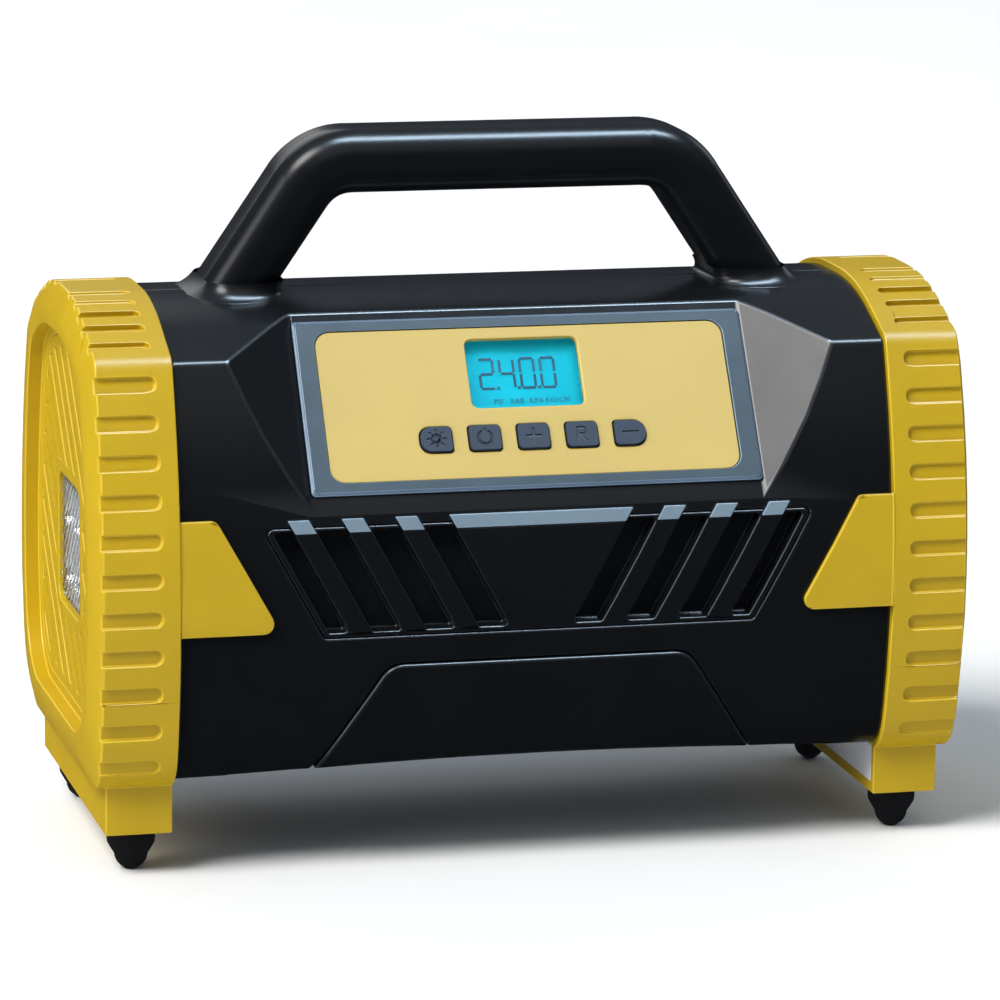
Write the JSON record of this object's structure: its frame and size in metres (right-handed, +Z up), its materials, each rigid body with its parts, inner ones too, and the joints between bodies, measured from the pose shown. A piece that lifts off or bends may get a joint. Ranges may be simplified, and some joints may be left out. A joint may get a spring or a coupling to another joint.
{
  "type": "jump starter pack",
  "caption": "Portable jump starter pack with a built-in tyre inflator: ribbed end caps, top handle, sloping control panel with display and buttons, rear sockets.",
  "frame": {"origin": "bottom centre of the bounding box, on the floor between the four feet", "axes": "+X along the length towards the cap without the lamp, -Y is the front with the control panel, +Z up"},
  "size_m": [0.296, 0.148, 0.2366],
  "materials": {
    "casing_black": "satin moulded",
    "cap_yellow": "satin moulded",
    "panel_yellow": "satin",
    "frame_blue": "satin",
    "accent_blue": "satin",
    "button_grey": "matt",
    "clear": "clear",
    "lcd_cyan": "backlit",
    "lcd_ink": "matt",
    "steel": "zinc plated",
    "brass": "turned",
    "rubber_black": "moulded",
    "board_green": "solder mask",
    "socket_blue": "moulded",
    "cell_wrap": "shrink wrap",
    "nickel": "plain",
    "cast_alloy": "as cast",
    "white_plastic": "moulded",
    "reflector": "metallised",
    "board_white": "solder mask"
  },
  "bodies": {
    "chassis": {"front_casing": "casing_black", "rear_casing": "casing_black", "left_end_cap": "cap_yellow", "right_end_cap": "cap_yellow", "left_grille": "cap_yellow", "right_grille": "cap_yellow", "handle_front": "casing_black", "handle_rear": "casing_black", "handle_screws": "steel", "casing_screws": "steel", "cap_screws": "steel", "rail_plates": "white_plastic", "ball_feet": "rubber_black", "bezel": "frame_blue", "control_panel": "panel_yellow", "lcd_window": "clear", "lcd_module": "lcd_cyan", "lcd_segments": "lcd_ink", "control_board": "board_green", "tact_switches": "rubber_black", "vent_insert": "casing_black", "accent_strips": "accent_blue", "lower_plate": "casing_black", "lamp_lens": "clear", "lamp_reflector": "reflector", "lamp_board": "board_white", "port_tray": "casing_black", "jump_socket": "socket_blue", "jump_contacts": "brass", "cover_pin": "steel", "air_outlet": "brass", "charge_socket": "rubber_black", "battery_cells": "cell_wrap", "battery_tray": "casing_black", "bus_bars": "nickel", "power_board": "board_green", "jump_relay": "casing_black", "compressor_frame": "steel", "compressor_block": "cast_alloy", "cylinder_head": "cast_alloy", "motor_can": "steel", "air_tube": "rubber_black"},
    "button_light_cap": {"button_light": "button_grey"},
    "button_power_cap": {"button_power": "button_grey"},
    "button_plus_cap": {"button_plus": "button_grey"},
    "button_mode_cap": {"button_mode": "button_grey"},
    "button_minus_cap": {"button_minus": "button_grey"},
    "cover": {"socket_cover": "rubber_black"},
    "rotor": {"motor_shaft": "steel", "cooling_fan": "white_plastic"}
  },
  "joints": [
    {"name": "press_light", "type": "slide", "parent": "chassis", "child": "button_light_cap", "axis": [0, 0.8368, -0.5476], "range_m": [0, 0.0009], "stiffness_N_per_m": 900, "springref_m": -0.0006},
    {"name": "press_power", "type": "slide", "parent": "chassis", "child": "button_power_cap", "axis": [0, 0.8368, -0.5476], "range_m": [0, 0.0009], "stiffness_N_per_m": 900, "springref_m": -0.0006},
    {"name": "press_plus", "type": "slide", "parent": "chassis", "child": "button_plus_cap", "axis": [0, 0.8368, -0.5476], "range_m": [0, 0.0009], "stiffness_N_per_m": 900, "springref_m": -0.0006},
    {"name": "press_mode", "type": "slide", "parent": "chassis", "child": "button_mode_cap", "axis": [0, 0.8368, -0.5476], "range_m": [0, 0.0009], "stiffness_N_per_m": 900, "springref_m": -0.0006},
    {"name": "press_minus", "type": "slide", "parent": "chassis", "child": "button_minus_cap", "axis": [0, 0.8368, -0.5476], "range_m": [0, 0.0009], "stiffness_N_per_m": 900, "springref_m": -0.0006},
    {"name": "cover_hinge", "type": "hinge", "parent": "chassis", "child": "cover", "pos_m": [-0.03, 0.0662, 0.121], "axis": [1, 0, 0], "range_deg": [0, 110]},
    {"name": "rotor_spin", "type": "hinge", "parent": "chassis", "child": "rotor", "pos_m": [-0.03, 0.013, 0.115], "axis": [1, 0, 0], "continuous": true}
  ]
}
